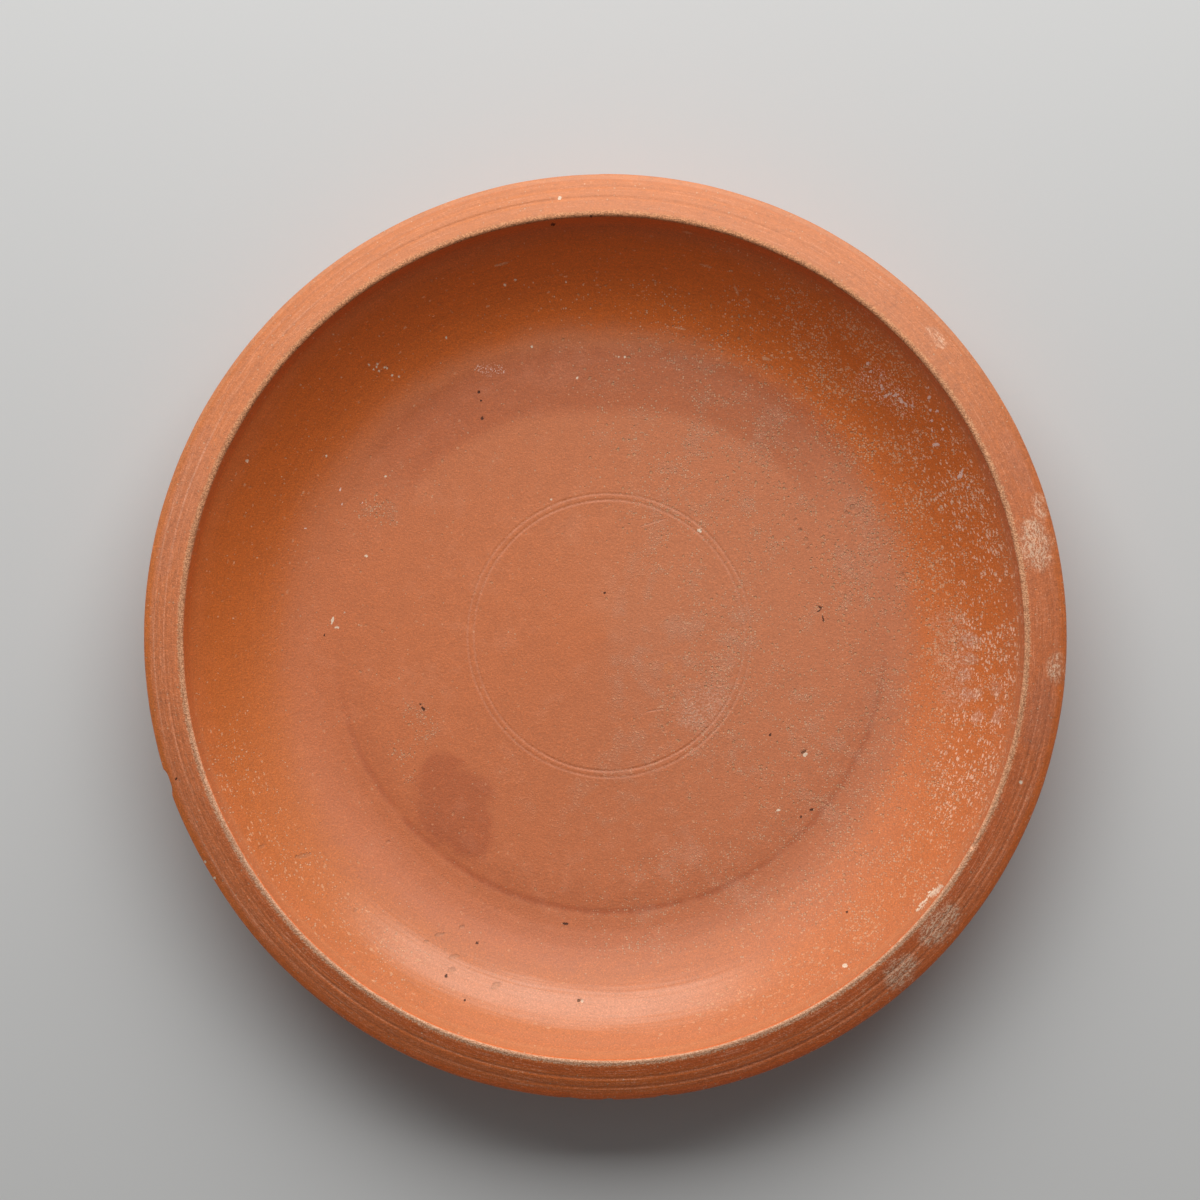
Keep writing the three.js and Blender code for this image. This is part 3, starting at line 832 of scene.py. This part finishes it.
    # Painted highlights on the groove shoulders that face the lamp, on the sides towards -Y and -X
    for groove in RIM_GROOVES:
        shoulder = step(finish.maths("ABSOLUTE", p.radius - groove - 0.5), 0.45, 0.10) * bevel
        shoulder = shoulder * step(p.streaks, 0.38, 0.56) * step(p.grain, 0.34, 0.54)
        color = mix(shoulder * p.facing(220, 70, 150) * 0.26, color, PINK)

    # Sandy clay laid bare along the lip, in lit and shaded copies: lighter towards -Y with painted light and
    # darker towards +Y with painted shade
    lip_top = p.facing(350, 35, 95)
    lip_low = p.facing(185, 50, 85)
    lip = step(p.along + (p.grain - 0.5) * 3 + 0.15 * lip_low, lip_start - 0.9, lip_start - 0.2)
    inward = p.along + (p.grain - 0.5) * (1 + 2 * lip_top) + 0.5 * lip_low
    lip = lip * step(inward, lip_end + 0.1, lip_end - 0.5)
    sand = step(p.grain * 0.6 + p.fine * 0.4, 0.40, 0.58)
    lip_clay_lit_and_shaded = mix(sand, mix(lip_low, (0.60, 0.23, 0.10), (0.76, 0.33, 0.165)),
                    mix(lip_low, (0.86, 0.43, 0.225), (0.95, 0.54, 0.33)))
    color = mix(lip, color, mix(lip_top, lip_clay_lit_and_shaded, mix(sand, (0.44, 0.17, 0.07), (0.76, 0.33, 0.15))))

    # Chalky dots, crusts and crumbs
    chalk = step(p.spots(CHALK_DOTS), -0.12, 0.12)
    crust = step(p.spots(CRUSTS) + (p.fine - 0.5) * 3.2 + (p.grain - 0.5) * 1.6, -0.10, 0.20)
    crumbs = step(p.spots(CRUMB_PATCHES) + (p.fine - 0.5) * 1.6, -0.05, 0.10)
    crumbs = most(crumbs, p.patches(CRUMBLY, 1.5) * step(p.fine * 0.5 + p.grain * 0.5, 0.575, 0.61))
    color = mix(step(p.spots(TAN_MARKS) + (p.fine - 0.5), -0.15, 0.15) * 0.6, color, TAN)
    color = mix(most(chalk, crust) * 0.92, color, CHALK)
    color = mix(crumbs * 0.85, color, (1.0, 0.72, 0.62))

    # Pits, painted near-black as the shade in them, scratches and dents
    pits = step(p.spots(DARK_PITS), -0.10, 0.10)
    scratches = step(p.spots(SCRATCHES, p.flat), -0.12, 0.2)
    dents = step(p.spots(DENTS), -0.35, 0.35)
    color = mix(pits * 0.88, color, PIT_SHADE)
    color = mix(dents * 0.38, color, (0.40, 0.17, 0.07))
    color = mix(scratches * 0.25, color, FILM)

    # Tone
    low = 1 - p.northness
    calm = bevel * p.northness
    tone = 0.985 + (p.mottle - 0.5) * 0.20 + (p.grain - 0.5) * (0.34 + 0.12 * wall - 0.16 * calm)
    sides = p.east * p.east * bevel
    lumps = (finish.noise(p.wheel(0.8, 70.0), 1.0, 2.0, 0.6) - 0.5) * bevel
    tone = tone + lumps * (0.22 + 0.42 * p.east * p.east)
    tone = tone + (p.fine - 0.5) * (0.32 + 0.10 * wall - 0.12 * bevel + 0.14 * sides)
    tone = tone + step(p.grain, 0.56, 0.70) * (0.13 - 0.10 * calm)
    tone = tone + (p.dashes - 0.5) * (0.10 * wall + bevel * (0.12 + 0.28 * low))
    upper = wall * p.northness
    tone = tone + (p.streaks - 0.5) * (0.06 + 0.16 * upper + 0.10 * sides + bevel * (0.06 + 0.22 * low))
    tone = tone + (p.thin_streaks - 0.5) * (0.05 + 0.18 * upper + 0.12 * sides + bevel * (0.06 + 0.10 * low))
    color = mix(1.0, color, finish.grey(tone), "MULTIPLY")

    # Clay without slip outside, with what ran down from the rim
    run = finish.noise(p.wheel(0.12, 7.0), 1.0, 3.0, 0.6)
    bare = step(p.along + (run - 0.5) * 14, ends["wall_outside_2"] + 1.5, ends["wall_outside_2"] - 1.5)
    outer_tone = 0.86 + 0.16 * p.streaks + 0.12 * p.thin_streaks + (p.mottle - 0.5) * 0.2 + (p.fine - 0.5) * 0.16
    clay = mix(1.0, UNDER_CLAY, finish.grey(outer_tone), "MULTIPLY")
    color = mix(bare, color, clay)

    # Relief in millimetres
    relief = (p.fine - 0.5) * 0.13 + (p.grain - 0.5) * (0.05 + 0.05 * bevel) + (p.mottle - 0.5) * 0.12
    relief = relief + (p.streaks - 0.5) * (0.02 + 0.03 * wall) + (p.thin_streaks - 0.5) * (0.01 + 0.04 * bevel)
    relief = relief + (sand - 0.5) * lip * 0.05 + grit * (0.10 - 0.22 * hollow)
    relief = relief - pits * 0.25 - hole * 0.20 - dents * 0.15 - scratches * 0.08 + curls * 0.10

    finish.plug(color, finish.shader.inputs["Base Color"])
    roughness = 0.60 + (p.mottle - 0.5) * 0.12 + lip * 0.15 + bare * 0.10 + flecks * 0.08
    finish.plug(roughness, finish.shader.inputs["Roughness"])
    coat = 0.95 * (1 - bare) * (1 - lip) * (1 - pits) * (1 - 0.6 * most(chalk, crust, flecks))
    finish.plug(coat, finish.shader.inputs["Coat Weight"])
    finish.plug(0.57, finish.shader.inputs["Coat Roughness"])
    finish.plug(0.5, finish.shader.inputs["Specular IOR Level"])
    bump = finish.node("Bump", {}, {"Height": relief, "Distance": MM, "Strength": 1.0})
    finish.plug(bump, finish.shader.inputs["Normal"])
    return finish.material


def make_floor():
    """A pale floor that is flat round the dish and turns up at its far end: a profile of radius and
    height, carried round the axis."""
    profile = np.vstack([[[0, 0], [1.0, 0], [3.0, 0]], arc((8.0, 4.0), 4.0, -90, -20, 12)])
    turn = np.linspace(0, 2 * np.pi, 96, endpoint=False)
    radius, level = profile[:, 0][:, None], profile[:, 1][:, None] + 0 * turn
    position = np.stack([radius * np.sin(turn), radius * np.cos(turn), level], -1)
    rows, columns = position.shape[:2]
    quads, _ = grid_faces(rows, columns)
    mesh = bpy.data.meshes.new("studio_floor")
    mesh.from_pydata(position.reshape(-1, 3), [], quads[:, ::-1])
    mesh.polygons.foreach_set("use_smooth", np.ones(len(mesh.polygons), bool))
    floor = linked("studio_floor", mesh)
    finish = Finish("pale_floor")
    finish.plug((0.70, 0.70, 0.69), finish.shader.inputs["Base Color"])
    finish.plug(0.9, finish.shader.inputs["Roughness"])
    floor.data.materials.append(finish.material)
    return floor


KEY_ELEVATION = 39.1
KEY_DISTANCE = 1.2
KEY_SIZE = (1.77, 1.10)
KEY_POWER = 20.7
WORLD_LIGHT = 0.124


def make_light():
    """One wide soft lamp above the far side of the dish, and an even grey world."""
    turn = math.radians(KEY_ELEVATION)
    lamp = bpy.data.lights.new("key", "AREA")
    lamp.shape = "RECTANGLE"
    lamp.size, lamp.size_y = KEY_SIZE
    lamp.energy = KEY_POWER
    key = linked("key", lamp)
    key.location = (0, KEY_DISTANCE * math.cos(turn), KEY_DISTANCE * math.sin(turn))
    towards = mathutils.Vector((0, 0, LIP_HEIGHT / 2 * MM)) - key.location
    key.rotation_euler = towards.to_track_quat("-Z", "Y").to_euler()
    world = bpy.data.worlds.new("studio")
    world.use_nodes = True
    world.node_tree.nodes["Background"].inputs["Color"].default_value = (1, 1, 1, 1)
    world.node_tree.nodes["Background"].inputs["Strength"].default_value = WORLD_LIGHT
    bpy.context.scene.world = world


CAMERA_AT = mathutils.Vector((0.05655, 0.01195, 1.35))
CAMERA_TARGET = mathutils.Vector((-0.00105, 0.01195, 0.0335))
FRAME_WIDTH = 0.38895  # what the picture spans at the target
SENSOR = 36


def make_camera():
    """Looks down at the dish from a little to the right, with +Y upwards in the picture."""
    back = (CAMERA_AT - CAMERA_TARGET).normalized()
    right = mathutils.Vector((0, 1, 0)).cross(back).normalized()
    upwards = back.cross(right)
    data = bpy.data.cameras.new("camera")
    data.sensor_width = SENSOR
    data.lens = SENSOR * (CAMERA_AT - CAMERA_TARGET).length / FRAME_WIDTH
    camera = linked("camera", data)
    turned = mathutils.Matrix((right, upwards, back)).transposed()
    camera.matrix_world = mathutils.Matrix.Translation(CAMERA_AT) @ turned.to_4x4()
    bpy.context.scene.camera = camera


make_camera()
make_light()
make_floor()

dish, section_ends = make_dish()
dish.data.materials.append(slip_finish(section_ends))
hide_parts("dish")
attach(dish, "root")

bpy.context.scene.view_settings.view_transform = "Standard"
